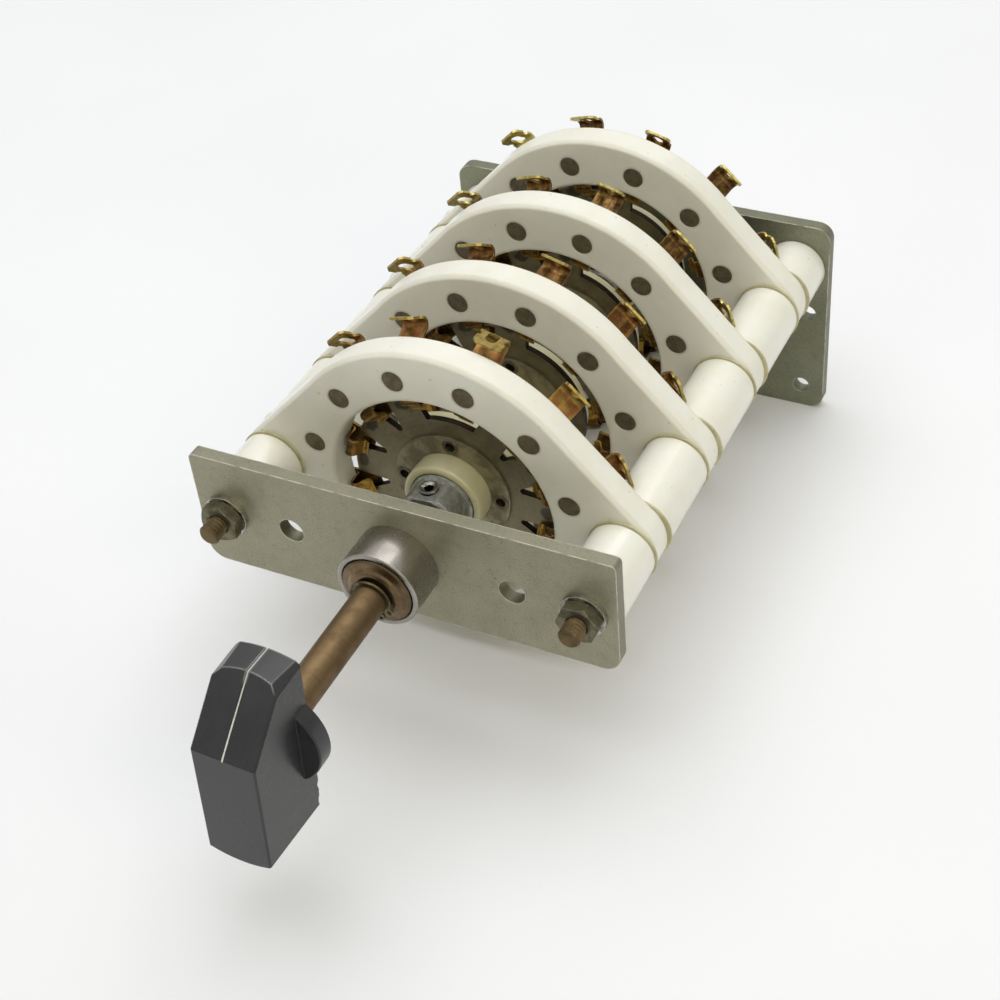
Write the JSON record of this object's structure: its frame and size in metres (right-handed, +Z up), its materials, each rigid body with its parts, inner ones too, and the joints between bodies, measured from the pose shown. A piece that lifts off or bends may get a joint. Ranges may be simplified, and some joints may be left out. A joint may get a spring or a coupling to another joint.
{
  "type": "rotary switch",
  "caption": "Rotary switch: ceramic wafers stacked on tie rods between two plates, with solder terminals round each wafer, slotted rotors on one shaft and a bar knob.",
  "frame": {"origin": "on the shaft axis at the front plate's front face, midway between the two panel mounting holes", "axes": "+Y along the shaft from the knob into the switch, +Z up, +X to the right seen from the knob"},
  "size_m": [0.086, 0.1772, 0.0704],
  "materials": {
    "plated_steel": "dull zinc plated steel with fine specks",
    "rear_plate_steel": "dull zinc plated steel",
    "turned_housing": "bright turned, nickel plated",
    "bronze": "dark oxidised bronze",
    "rod_brass": "tarnished brass rod",
    "nut_steel": "dull plated steel",
    "washer_steel": "bright plated spring steel",
    "glazed_spacer": "glazed steatite tube",
    "insulating_sheet": "laminate sheet washer",
    "steatite": "unglazed pressed steatite",
    "terminal_bronze": "tarnished phosphor bronze strip",
    "leaf_bronze": "tarnished spring brass leaf",
    "rivet_metal": "dark tarnished rivet",
    "shaft_metal": "tarnished brass shaft",
    "knob_plastic": "moulded black plastic with a pale engraved line",
    "screw_steel": "black oxide screw",
    "ring_steel": "plated spring steel ring",
    "detent_metal": "turned steel",
    "rotor_ceramic": "cream steatite",
    "disc_metal": "tarnished silver plated disc",
    "clamp_metal": "tarnished plated ring",
    "eyelet_metal": "plated eyelet",
    "die_cast": "grey die casting",
    "socket_screw": "plated socket screw"
  },
  "bodies": {
    "frame": {"front_plate": "plated_steel", "bearing_housing": "turned_housing", "cover_disc": "bronze", "tie_rods": "rod_brass", "front_nuts": "nut_steel", "front_lock_washers": "washer_steel", "rear_nuts": "nut_steel", "rear_lock_washers": "washer_steel", "front_spacers": "glazed_spacer", "middle_spacers": "glazed_spacer", "rear_spacers": "glazed_spacer", "insulating_washers": "insulating_sheet", "wafer_1": "steatite", "wafer_2": "steatite", "wafer_3": "steatite", "wafer_4": "steatite", "terminals_1": "terminal_bronze", "terminals_2": "terminal_bronze", "terminals_3": "terminal_bronze", "terminals_4": "terminal_bronze", "front_leaves_1": "leaf_bronze", "front_leaves_2": "leaf_bronze", "front_leaves_3": "leaf_bronze", "front_leaves_4": "leaf_bronze", "contact_rivets_1": "rivet_metal", "contact_rivets_2": "rivet_metal", "contact_rivets_3": "rivet_metal", "contact_rivets_4": "rivet_metal", "rear_plate": "rear_plate_steel", "rear_bush": "bronze"},
    "rotor": {"shaft": "shaft_metal", "knob": "knob_plastic", "knob_set_screw": "screw_steel", "retaining_ring": "ring_steel", "detent_carrier": "detent_metal", "detent_balls": "detent_metal", "detent_springs": "detent_metal", "rotor_hub_1": "rotor_ceramic", "rotor_hub_2": "rotor_ceramic", "rotor_hub_3": "rotor_ceramic", "rotor_hub_4": "rotor_ceramic", "rotor_disc_1": "disc_metal", "rotor_disc_2": "disc_metal", "rotor_disc_3": "disc_metal", "rotor_disc_4": "disc_metal", "clamp_ring_1": "clamp_metal", "clamp_ring_2": "clamp_metal", "clamp_ring_3": "clamp_metal", "clamp_ring_4": "clamp_metal", "rotor_rivets_1": "eyelet_metal", "rotor_rivets_2": "eyelet_metal", "rotor_rivets_3": "eyelet_metal", "rotor_rivets_4": "eyelet_metal", "drive_collar_1": "die_cast", "drive_collar_2": "die_cast", "drive_collar_3": "die_cast", "drive_collar_4": "die_cast", "collar_set_screws": "socket_screw"}
  },
  "joints": [
    {"name": "shaft_turn", "type": "hinge", "parent": "frame", "child": "rotor", "pos_m": [0, 0, 0], "axis": [0, 1, 0], "continuous": true}
  ]
}
